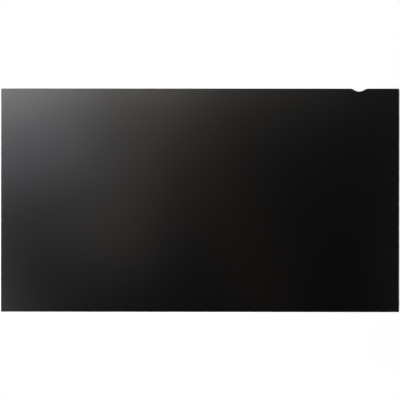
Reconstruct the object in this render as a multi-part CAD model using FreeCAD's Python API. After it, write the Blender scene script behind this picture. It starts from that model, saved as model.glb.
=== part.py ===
import FreeCAD, Part
import math
import os

# A monitor privacy filter: one flat sheet of louvred film, die-cut to the size of the screen.
# It lies on its back: X runs across the screen, Y up the screen, and Z out of the viewing face.
# The origin is the middle of the back face. All sizes are in millimetres, all angles in degrees.

# The sheet, for a 24-inch screen with a 16:9 picture
sheet_width = 531.0
sheet_height = 298.0
sheet_thickness = 0.5
corner_radius = 1.5
edge_break = 0.08  # width and height of the bevel along both rims of the cut edge

# The finger notch in the top edge: a round scoop that flows into the edge over two shoulders
notch_from_right = 53.5  # from the right edge to the middle of the notch
notch_depth = 3.75
scoop_radius = 12.5
shoulder_radius = 8.5


def arc_about(x, y, radius, start_angle, end_angle):
    """Arc about the centre (x, y), from one angle to the other, anticlockwise if the angle grows."""

    def on_arc(angle):
        turned = math.radians(angle)
        return FreeCAD.Vector(x + radius * math.cos(turned), y + radius * math.sin(turned), 0)

    middle_angle = (start_angle + end_angle) / 2
    return Part.Arc(on_arc(start_angle), on_arc(middle_angle), on_arc(end_angle)).toShape()


def corner_arcs():
    """The four rounded corners, anticlockwise from the lower right."""
    x = sheet_width / 2 - corner_radius
    y = sheet_height / 2 - corner_radius
    lower_right = arc_about(x, -y, corner_radius, -90, 0)
    upper_right = arc_about(x, y, corner_radius, 0, 90)
    upper_left = arc_about(-x, y, corner_radius, 90, 180)
    lower_left = arc_about(-x, -y, corner_radius, 180, 270)
    return lower_right, upper_right, upper_left, lower_left


def notch_arcs():
    """The notch from right to left: shoulder, scoop and shoulder, each tangent to the next."""
    top = sheet_height / 2
    middle = sheet_width / 2 - notch_from_right
    between_centres = scoop_radius + shoulder_radius
    steepness = math.degrees(math.acos(1 - notch_depth / between_centres))
    half_width = between_centres * math.sin(math.radians(steepness))
    shoulder_y = top - shoulder_radius
    scoop_y = top - notch_depth + scoop_radius
    right = arc_about(middle + half_width, shoulder_y, shoulder_radius, 90, 90 + steepness)
    scoop = arc_about(middle, scoop_y, scoop_radius, -90 + steepness, -90 - steepness)
    left = arc_about(middle - half_width, shoulder_y, shoulder_radius, 90 - steepness, 90)
    return right, scoop, left


def outline_through(arcs):
    """Closed wire along the arcs in order, with a straight edge wherever one doesn't meet the next."""
    edges = []
    for arc, next_arc in zip(arcs, arcs[1:] + arcs[:1]):
        edges.append(arc)
        end = arc.valueAt(arc.LastParameter)
        start = next_arc.valueAt(next_arc.FirstParameter)
        if not end.isEqual(start, Part.Precision.confusion()):
            edges.append(Part.LineSegment(end, start).toShape())
    return Part.Wire(edges)


def make_filter_sheet():
    """The whole laminate as one solid, with the rims of its cut edge broken on both faces."""
    lower_right, upper_right, upper_left, lower_left = corner_arcs()
    outline = outline_through([lower_right, upper_right, *notch_arcs(), upper_left, lower_left])
    sheet = Part.Face(outline).extrude(FreeCAD.Vector(0, 0, sheet_thickness))
    rims = [edge for edge in sheet.Edges if edge.BoundBox.ZLength < sheet_thickness / 2]
    return sheet.makeChamfer(edge_break, rims)


os.makedirs("parts", exist_ok=True)
make_filter_sheet().exportStep("parts/filter_sheet.step")
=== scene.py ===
import math

import bpy
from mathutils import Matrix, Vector


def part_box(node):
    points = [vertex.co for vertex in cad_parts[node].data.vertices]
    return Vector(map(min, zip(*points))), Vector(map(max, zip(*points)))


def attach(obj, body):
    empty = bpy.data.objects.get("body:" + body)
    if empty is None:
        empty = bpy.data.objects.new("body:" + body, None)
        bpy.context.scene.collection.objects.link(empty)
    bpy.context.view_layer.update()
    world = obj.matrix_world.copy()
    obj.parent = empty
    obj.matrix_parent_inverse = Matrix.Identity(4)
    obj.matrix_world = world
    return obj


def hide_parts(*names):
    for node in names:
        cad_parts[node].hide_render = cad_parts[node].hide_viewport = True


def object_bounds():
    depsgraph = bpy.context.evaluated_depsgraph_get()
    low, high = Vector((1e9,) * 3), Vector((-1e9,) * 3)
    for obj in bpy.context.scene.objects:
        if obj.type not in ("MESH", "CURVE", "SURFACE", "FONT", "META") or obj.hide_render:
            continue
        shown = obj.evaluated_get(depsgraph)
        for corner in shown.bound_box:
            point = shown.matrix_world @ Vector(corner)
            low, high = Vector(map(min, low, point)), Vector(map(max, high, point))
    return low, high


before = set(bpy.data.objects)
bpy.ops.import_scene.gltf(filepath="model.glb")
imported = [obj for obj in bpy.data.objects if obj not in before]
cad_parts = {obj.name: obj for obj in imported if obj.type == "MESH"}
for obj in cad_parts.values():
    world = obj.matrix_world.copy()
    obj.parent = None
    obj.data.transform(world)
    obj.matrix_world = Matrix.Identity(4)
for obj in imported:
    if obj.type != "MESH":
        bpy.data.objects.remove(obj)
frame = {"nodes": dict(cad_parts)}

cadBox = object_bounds()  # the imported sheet, before it is dressed
print("frame loaded:", ", ".join(frame["nodes"]))


# A node stands for its first output
def outputOf(source):
    if isinstance(source, bpy.types.Node):
        return source.outputs[0]
    return source


# Each input is set to a value, or linked to a node or to one of a node's outputs
def addNode(tree, kind, inputs=None, **settings):
    node = tree.nodes.new(kind)
    for setting, value in settings.items():
        setattr(node, setting, value)
    for socket, value in (inputs or {}).items():
        source = outputOf(value)
        if isinstance(source, bpy.types.NodeSocket):
            tree.links.new(source, node.inputs[socket])
        else:
            node.inputs[socket].default_value = source
    return node


def calc(tree, operation, first, second=0.0):
    return addNode(tree, "ShaderNodeMath", {0: first, 1: second}, operation=operation)


def calcVector(tree, operation, first, second=(0.0, 0.0, 0.0)):
    return addNode(tree, "ShaderNodeVectorMath", {0: first, 1: second}, operation=operation)


def shaderTree(owner):
    owner.use_nodes = True
    owner.node_tree.nodes.clear()
    return owner.node_tree


# Finishes: all read Object coordinates, with sizes in metres across, up and through the sheet
noiseRange = (0.3, 0.7)  # most of a noise lies between these
waveRepeat = math.tau / 20  # from band to band of a wave texture, at a scale of 1


def newFinish(name):
    material = bpy.data.materials.new(name)
    tree = shaderTree(material)
    spot = addNode(tree, "ShaderNodeTexCoord").outputs["Object"]
    return material, tree, spot


def noiseOf(tree, spot, sizes, detail):
    scale = [1 / size for size in sizes]
    placed = addNode(tree, "ShaderNodeMapping", {"Vector": spot, "Scale": scale})
    return addNode(tree, "ShaderNodeTexNoise", {"Vector": placed, "Scale": 1.0, "Detail": detail})


def bandsOf(tree, spot, pitch):
    wave = addNode(tree, "ShaderNodeTexWave", {"Vector": spot, "Scale": waveRepeat / pitch})
    return wave.outputs["Fac"]


def spread(tree, noise, low, high):
    lowest, highest = noiseRange
    span = {"Value": noise, "From Min": lowest, "From Max": highest, "To Min": low, "To Max": high}
    return addNode(tree, "ShaderNodeMapRange", span)


def mixTint(tree, factor, first, second):
    # sockets by number, because those for numbers, vectors and colours share their names
    return addNode(tree, "ShaderNodeMix", {0: factor, 6: first, 7: second}, data_type="RGBA").outputs[2]


def relief(tree, noise, height, base=None):
    inputs = {"Height": noise, "Distance": height}
    if base is not None:
        inputs["Normal"] = base  # the coarser relief that this one lies on
    return addNode(tree, "ShaderNodeBump", inputs)


def plastic(tree, tint, roughness, normal, ior):
    inputs = {"Base Color": tint, "Roughness": roughness, "Normal": normal, "IOR": ior}
    surface = addNode(tree, "ShaderNodeBsdfPrincipled", inputs)
    addNode(tree, "ShaderNodeOutputMaterial", {"Surface": surface})


viewingFace = {  # satin anti-glare film over the louvres
    "louvreBlack": (0.0019, 0.0019, 0.0019, 1.0),
    "gapBlack": (0.0026, 0.0026, 0.0023, 1.0),
    "gapWarm": (0.0033, 0.0029, 0.0025, 1.0),
    "louvrePitch": 0.0001,
    "roughness": (0.198, 0.206),
    "ior": 1.50,
    "streaks": (0.003, 0.25, 0.25),  # faint unevenness along the louvres, which run up the screen
    "drift": (0.16, 0.16, 0.16),  # slow change of tint, and long low waves in the sheet
    "driftHeight": 0.0002,
    "grain": (0.0004, 0.0004, 0.0004),  # texture of the anti-glare coat
    "grainHeight": 0.000002,
}


def makeViewingFilm():
    film, tree, spot = newFinish("satin_viewing_film")
    streaks = noiseOf(tree, spot, viewingFace["streaks"], detail=3.0)
    drift = noiseOf(tree, spot, viewingFace["drift"], detail=1.0)
    grain = noiseOf(tree, spot, viewingFace["grain"], detail=2.0)
    louvres = bandsOf(tree, spot, viewingFace["louvrePitch"])
    gaps = mixTint(tree, drift, viewingFace["gapBlack"], viewingFace["gapWarm"])
    tint = mixTint(tree, louvres, viewingFace["louvreBlack"], gaps)
    satin = spread(tree, streaks, *viewingFace["roughness"])
    waves = relief(tree, drift, viewingFace["driftHeight"])
    coat = relief(tree, grain, viewingFace["grainHeight"], base=waves)
    plastic(tree, tint, satin, coat, viewingFace["ior"])
    return film


backFace = {  # smooth film that lies against the screen
    "black": (0.0020, 0.0020, 0.0019, 1.0),
    "greyBlack": (0.0029, 0.0028, 0.0027, 1.0),
    "roughness": (0.10, 0.13),
    "ior": 1.50,
    "streaks": (0.003, 0.25, 0.25),
    "drift": (0.16, 0.16, 0.16),
    "driftHeight": 0.0002,
}


def makeBackFilm():
    film, tree, spot = newFinish("gloss_back_film")
    streaks = noiseOf(tree, spot, backFace["streaks"], detail=3.0)
    drift = noiseOf(tree, spot, backFace["drift"], detail=1.0)
    tint = mixTint(tree, streaks, backFace["black"], backFace["greyBlack"])
    gloss = spread(tree, drift, *backFace["roughness"])
    waves = relief(tree, drift, backFace["driftHeight"])
    plastic(tree, tint, gloss, waves, backFace["ior"])
    return film


cutFace = {  # the sheet's rim, as the cutting die left it
    "black": (0.005, 0.005, 0.005, 1.0),
    "scuffed": (0.012, 0.012, 0.012, 1.0),
    "roughness": (0.45, 0.65),
    "ior": 1.50,
    "scores": (0.0002, 0.0002, 0.002),  # fine marks through the thickness
    "scoreHeight": 0.000008,
}


def makeCutEdge():
    edge, tree, spot = newFinish("cut_edge")
    scores = noiseOf(tree, spot, cutFace["scores"], detail=2.0)
    tint = mixTint(tree, scores, cutFace["black"], cutFace["scuffed"])
    dull = spread(tree, scores, *cutFace["roughness"])
    cuts = relief(tree, scores, cutFace["scoreHeight"])
    plastic(tree, tint, dull, cuts, cutFace["ior"])
    return edge


# The sheet, in metres: a die-cut outline, its rounded cut edge swept along it, and a film on each side
sheetCut = {
    "cornerRadius": 0.0015,
    "rimRadius": 0.00008,  # where the cut edge meets either face
    "notchFromRight": 0.0535,  # right edge to the middle of the finger notch
    "notchDepth": 0.00375,
    "scoopRadius": 0.0125,
    "shoulderRadius": 0.0085,
    "arcSteps": 14,
    "rimSteps": 4,
    "weldDistance": 0.000005,  # joins the films to the cut edge
}
flatFacing = 0.9999  # a face whose normal points up or down by more than this is film, the rest is rim


def pickByIndex(tree, kind, choices):
    index = addNode(tree, "GeometryNodeInputIndex")
    switch = addNode(tree, "GeometryNodeIndexSwitch", {"Index": index}, data_type=kind)
    while len(switch.index_switch_items) < len(choices):
        switch.index_switch_items.new()
    for choice, socket in zip(choices, switch.inputs[1:]):  # the first socket is the index
        tree.links.new(outputOf(choice), socket)
    return switch


def filletedLine(tree, corners, radii, steps, closed):
    places = [addNode(tree, "ShaderNodeCombineXYZ", {"X": x, "Y": y}) for x, y in corners]
    place = pickByIndex(tree, "VECTOR", places)
    points = addNode(tree, "GeometryNodePoints", {"Count": len(corners), "Position": place})
    line = addNode(tree, "GeometryNodePointsToCurves", {"Points": points})
    loop = addNode(tree, "GeometryNodeSetSplineCyclic", {"Geometry": line, "Cyclic": closed})
    rounding = {"Curve": loop, "Count": steps, "Radius": pickByIndex(tree, "FLOAT", radii)}
    return addNode(tree, "GeometryNodeFilletCurve", rounding, mode="POLY")


# The notch before its corners are rounded: two flanks that meet below the edge, as long as their arcs need
def notchCorners(tree, given, top, middle):
    betweenCentres = calc(tree, "ADD", given["scoopRadius"], given["shoulderRadius"])
    depthShare = calc(tree, "DIVIDE", given["notchDepth"], betweenCentres)
    slope = calc(tree, "ARCCOSINE", calc(tree, "SUBTRACT", 1.0, depthShare))
    halfSlope = calc(tree, "MULTIPLY", slope, 0.5)
    shoulder = calc(tree, "MULTIPLY", given["shoulderRadius"], calc(tree, "TANGENT", halfSlope))
    scoop = calc(tree, "MULTIPLY", given["scoopRadius"], calc(tree, "TANGENT", slope))
    flank = calc(tree, "ADD", shoulder, scoop)
    reach = calc(tree, "MULTIPLY", flank, calc(tree, "COSINE", slope))
    drop = calc(tree, "MULTIPLY", flank, calc(tree, "SINE", slope))
    right = (calc(tree, "ADD", middle, reach), top)
    bottom = (middle, calc(tree, "SUBTRACT", top, drop))
    left = (calc(tree, "SUBTRACT", middle, reach), top)
    return [right, bottom, left]


def makeOutline(tree, given):
    right = calc(tree, "MULTIPLY", given["width"], 0.5)
    left = calc(tree, "MULTIPLY", given["width"], -0.5)
    top = calc(tree, "MULTIPLY", given["height"], 0.5)
    bottom = calc(tree, "MULTIPLY", given["height"], -0.5)
    notchMiddle = calc(tree, "SUBTRACT", right, given["notchFromRight"])
    notch = notchCorners(tree, given, top, notchMiddle)
    corners = [(right, bottom), (right, top), *notch, (left, top), (left, bottom)]  # anticlockwise
    corner = given["cornerRadius"]
    shoulder = given["shoulderRadius"]
    radii = [corner, corner, shoulder, given["scoopRadius"], shoulder, corner, corner]
    return filletedLine(tree, corners, radii, given["arcSteps"], closed=True)


# The edge's profile goes from the viewing face round to the back, with x outward and y down
def sweepEdge(tree, given, outline):
    rim = given["rimRadius"]
    inside = calc(tree, "MULTIPLY", rim, -1.0)
    upper = calc(tree, "MULTIPLY", given["thickness"], -1.0)
    corners = [(inside, upper), (0.0, upper), (0.0, 0.0), (inside, 0.0)]
    profile = filletedLine(tree, corners, [rim] * len(corners), given["rimSteps"], closed=False)
    edge = addNode(tree, "GeometryNodeCurveToMesh", {"Curve": outline, "Profile Curve": profile})
    return addNode(tree, "GeometryNodeSetShadeSmooth", {"Geometry": edge})


# Both films fill the outline as far as the rounded rims
def layFilms(tree, given, outline):
    upright = (0.0, 0.0, 1.0)
    inward = calcVector(tree, "CROSS_PRODUCT", upright, addNode(tree, "GeometryNodeInputTangent"))
    inset = calcVector(tree, "MULTIPLY", inward, given["rimRadius"])
    rimLine = addNode(tree, "GeometryNodeSetPosition", {"Geometry": outline, "Offset": inset})
    film = addNode(tree, "GeometryNodeFillCurve", {"Curve": rimLine}, mode="NGONS")
    lift = addNode(tree, "ShaderNodeCombineXYZ", {"Z": given["thickness"]})
    front = addNode(tree, "GeometryNodeTransform", {"Geometry": film, "Translation": lift})
    back = addNode(tree, "GeometryNodeFlipFaces", {"Mesh": film})
    return back, front


def weld(tree, parts, distance):
    whole = addNode(tree, "GeometryNodeJoinGeometry")
    for part in parts:
        tree.links.new(outputOf(part), whole.inputs[0])
    return addNode(tree, "GeometryNodeMergeByDistance", {"Geometry": whole, "Distance": distance})


# The cut edge's finish goes everywhere, then a film on each face that lies flat
def dress(tree, given, geometry):
    normal = addNode(tree, "GeometryNodeInputNormal")
    facing = addNode(tree, "ShaderNodeSeparateXYZ", {0: normal}).outputs["Z"]
    upward = calc(tree, "GREATER_THAN", facing, flatFacing)
    downward = calc(tree, "LESS_THAN", facing, -flatFacing)
    for chosen, surface in ((True, "cutEdge"), (upward, "viewingFilm"), (downward, "backFilm")):
        inputs = {"Geometry": geometry, "Selection": chosen, "Material": given[surface]}
        geometry = addNode(tree, "GeometryNodeSetMaterial", inputs)
    return geometry


def makeSheetTree(values):
    tree = bpy.data.node_groups.new("dieCutSheet", "GeometryNodeTree")
    kinds = {float: "NodeSocketFloat", int: "NodeSocketInt", bpy.types.Material: "NodeSocketMaterial"}
    for name, value in values.items():
        tree.interface.new_socket(name, in_out="INPUT", socket_type=kinds[type(value)])
    tree.interface.new_socket("sheet", in_out="OUTPUT", socket_type="NodeSocketGeometry")
    given = tree.nodes.new("NodeGroupInput").outputs
    outline = makeOutline(tree, given)
    edge = sweepEdge(tree, given, outline)
    films = layFilms(tree, given, outline)
    closed = weld(tree, (*films, edge), given["weldDistance"])
    whole = addNode(tree, "GeometryNodeRealizeInstances", {"Geometry": closed})
    addNode(tree, "NodeGroupOutput", {"sheet": dress(tree, given, whole)})
    return tree


def makeSheet(finishes):
    low, high = (Vector(corner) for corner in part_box("filter_sheet"))
    width, height, thickness = high - low
    values = {"width": width, "height": height, "thickness": thickness, **sheetCut, **finishes}
    piece = bpy.data.objects.new("louvred_sheet", bpy.data.meshes.new("blank"))
    bpy.context.scene.collection.objects.link(piece)
    cutter = piece.modifiers.new("dieCut", "NODES")
    cutter.node_group = makeSheetTree(values)
    for socket in cutter.node_group.interface.items_tree:
        if socket.name in values:
            cutter[socket.identifier] = values[socket.name]
    shaped = piece.evaluated_get(bpy.context.evaluated_depsgraph_get())
    mesh = bpy.data.meshes.new_from_object(shaped)
    mesh.name = "louvred_sheet"
    mesh.materials.pop(index=0)  # an empty slot that the nodes leave first
    piece.modifiers.remove(cutter)
    piece.data = mesh
    return piece


finishes = {"viewingFilm": makeViewingFilm(), "backFilm": makeBackFilm(), "cutEdge": makeCutEdge()}
print("finishes mixed:", ", ".join(finishes))

sheet = makeSheet(finishes)
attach(sheet, "root")
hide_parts("filter_sheet")
print("sheet cut:", len(sheet.data.vertices), "points,", len(sheet.data.polygons), "faces")


# Studio: a white floor, a room that is white at the horizon and dark overhead, and soft lamps
floorLook = {
    "paint": (0.80, 0.80, 0.80, 1.0),
    "lift": 0.4,  # glow that is added where the floor is seen, so that it reads as white
    "plainFrom": 0.02,  # metres from the sheet's edge, past its shadow, where the floor fades to even white
    "plainTo": 0.10,
    "halfWidth": 12.0,
    "below": 0.00002,  # gap under the sheet
}


# 1 for the rays that show the floor, 0 for those that carry its light to the sheet
def whereSeen(tree):
    path = addNode(tree, "ShaderNodeLightPath").outputs
    seen = calc(tree, "MAXIMUM", path["Is Camera Ray"], path["Is Glossy Ray"])
    return calc(tree, "MAXIMUM", seen, path["Is Transmission Ray"])


# The sheet is centred on the origin, so one of its corners gives its reach on every side
def fromSheet(tree):
    spot = addNode(tree, "ShaderNodeTexCoord").outputs["Object"]
    folded = calcVector(tree, "ABSOLUTE", spot)
    past = calcVector(tree, "SUBTRACT", folded, tuple(cadBox[1]))
    outside = calcVector(tree, "MAXIMUM", past)
    return calcVector(tree, "LENGTH", outside).outputs["Value"]


def makeFloorPaint():
    paint = bpy.data.materials.new("white_floor")
    tree = shaderTree(paint)
    seen = whereSeen(tree)
    matt = addNode(tree, "ShaderNodeBsdfDiffuse", {"Color": floorLook["paint"]})
    lift = calc(tree, "MULTIPLY", seen, floorLook["lift"])
    glow = addNode(tree, "ShaderNodeEmission", {"Strength": lift})
    near = addNode(tree, "ShaderNodeAddShader", {0: matt, 1: glow})  # keeps the sheet's shadow
    plain = addNode(tree, "ShaderNodeEmission", {"Strength": 1.0})
    span = {"Value": fromSheet(tree), "From Min": floorLook["plainFrom"], "From Max": floorLook["plainTo"]}
    fade = addNode(tree, "ShaderNodeMapRange", span, interpolation_type="SMOOTHSTEP")
    share = calc(tree, "MULTIPLY", fade, seen)
    mixed = addNode(tree, "ShaderNodeMixShader", {0: share, 1: near, 2: plain})
    addNode(tree, "ShaderNodeOutputMaterial", {"Surface": mixed})
    return paint


def makeFloor():
    half = floorLook["halfWidth"]
    low = cadBox[0][2] - floorLook["below"]
    corners = [(-half, -half, low), (half, -half, low), (half, half, low), (-half, half, low)]
    mesh = bpy.data.meshes.new("floor")
    mesh.from_pydata(corners, [], [(0, 1, 2, 3)])
    mesh.materials.append(makeFloorPaint())
    floor = bpy.data.objects.new("floor", mesh)
    bpy.context.scene.collection.objects.link(floor)


# Brightness of the room by height, from 0 at the horizon to 1 overhead
roomLevels = {0.00: 1.00, 0.09: 1.00, 0.13: 0.55, 0.20: 0.20, 0.32: 0.10, 0.55: 0.05, 0.80: 0.01, 1.00: 0.00}


def makeRoom():
    room = bpy.data.worlds.new("studio")
    bpy.context.scene.world = room
    tree = shaderTree(room)
    direction = addNode(tree, "ShaderNodeTexCoord").outputs["Generated"]
    height = addNode(tree, "ShaderNodeSeparateXYZ", {0: direction}).outputs["Z"]
    ramp = addNode(tree, "ShaderNodeValToRGB", {0: height})
    stops = ramp.color_ramp.elements
    while len(stops) < len(roomLevels):
        stops.new(1.0)  # each gets its own place below
    for stop, (place, level) in zip(stops, roomLevels.items()):
        stop.position = place
        stop.color = (level, level, level, 1.0)
    light = addNode(tree, "ShaderNodeBackground", {"Color": ramp, "Strength": 1.0})
    addNode(tree, "ShaderNodeOutputWorld", {"Surface": light})


# Lamps hang level over the sheet: place and size in metres, turn in degrees, glow of the lamp's own face
lampHeight = 1.5
lampGap = 0.01  # each hangs this much above the last, because lamps in one plane dim each other
lamps = {
    "longStrip": {  # sheen along the top edge, strongest at the left
        "at": (-0.424, 0.428), "size": (1.78, 0.28), "turn": 14.7, "glow": 5.19, "tint": (1.00, 0.94, 0.88)},
    "leftSoftbox": {  # brightens the left edge
        "at": (-1.10, -0.46), "size": (1.10, 2.00), "turn": 17.1, "glow": 2.43, "tint": (0.91, 0.91, 1.00)},
    "farSoftbox": {  # pale upper left corner
        "at": (-1.14, 0.47), "size": (1.54, 1.04), "turn": 9.9, "glow": 2.03, "tint": (0.83, 0.87, 1.00)},
    "warmCard": {  # warm band left of the middle
        "at": (-0.146, 0.37), "size": (0.24, 1.10), "turn": -15.4, "glow": 0.66, "tint": (1.00, 0.92, 0.81)},
    "rightStrip": {  # faint line down the right edge
        "at": (0.72, 0.36), "size": (0.12, 1.44), "turn": -7.2, "glow": 0.51, "tint": (0.85, 0.97, 1.00)},
    "middleCard": {  # faint band across the middle
        "at": (0.00, 0.14), "size": (0.12, 1.04), "turn": 23.5, "glow": 0.16, "tint": (1.00, 0.80, 0.60)},
    "plainFill": {  # brings the light up to a plain level, and doesn't show in the film's gloss
        "at": (-1.09, -0.48), "size": (0.75, 2.00), "turn": 11.0, "glow": 3.60, "tint": (0.93, 0.92, 1.00)},
}
unmirrored = ("plainFill",)  # lamps that reflections leave out


def makeLamps():
    for order, (name, setting) in enumerate(lamps.items()):
        lamp = bpy.data.lights.new(name, "AREA")
        lamp.shape = "RECTANGLE"
        lamp.size, lamp.size_y = setting["size"]
        lamp.energy = math.pi * setting["glow"] * lamp.size * lamp.size_y
        lamp.color = setting["tint"]
        holder = bpy.data.objects.new(name, lamp)
        holder.location = (*setting["at"], lampHeight + order * lampGap)
        holder.rotation_euler = (0.0, 0.0, math.radians(setting["turn"]))
        holder.visible_camera = False
        holder.visible_glossy = name not in unmirrored
        bpy.context.scene.collection.objects.link(holder)


# The camera looks straight down; in a square frame its view is just wider than the sheet
viewpoint = {
    "height": 1.5,
    "aside": -0.00008,  # from the middle of the sheet
    "ahead": 0.00028,
    "roll": 0.055,  # degrees
    "lens": 101.19,  # millimetres, as the sensor
    "sensor": 36.0,
}


def makeCamera():
    lens = bpy.data.cameras.new("camera")
    lens.lens = viewpoint["lens"]
    lens.sensor_width = viewpoint["sensor"]
    camera = bpy.data.objects.new("camera", lens)
    camera.location = (viewpoint["aside"], viewpoint["ahead"], viewpoint["height"])
    camera.rotation_euler = (0.0, 0.0, math.radians(viewpoint["roll"]))
    bpy.context.scene.collection.objects.link(camera)
    bpy.context.scene.camera = camera


makeFloor()
makeRoom()
makeLamps()
makeCamera()
bpy.context.scene.view_settings.view_transform = "Standard"
print("studio set:", ", ".join(lamps))
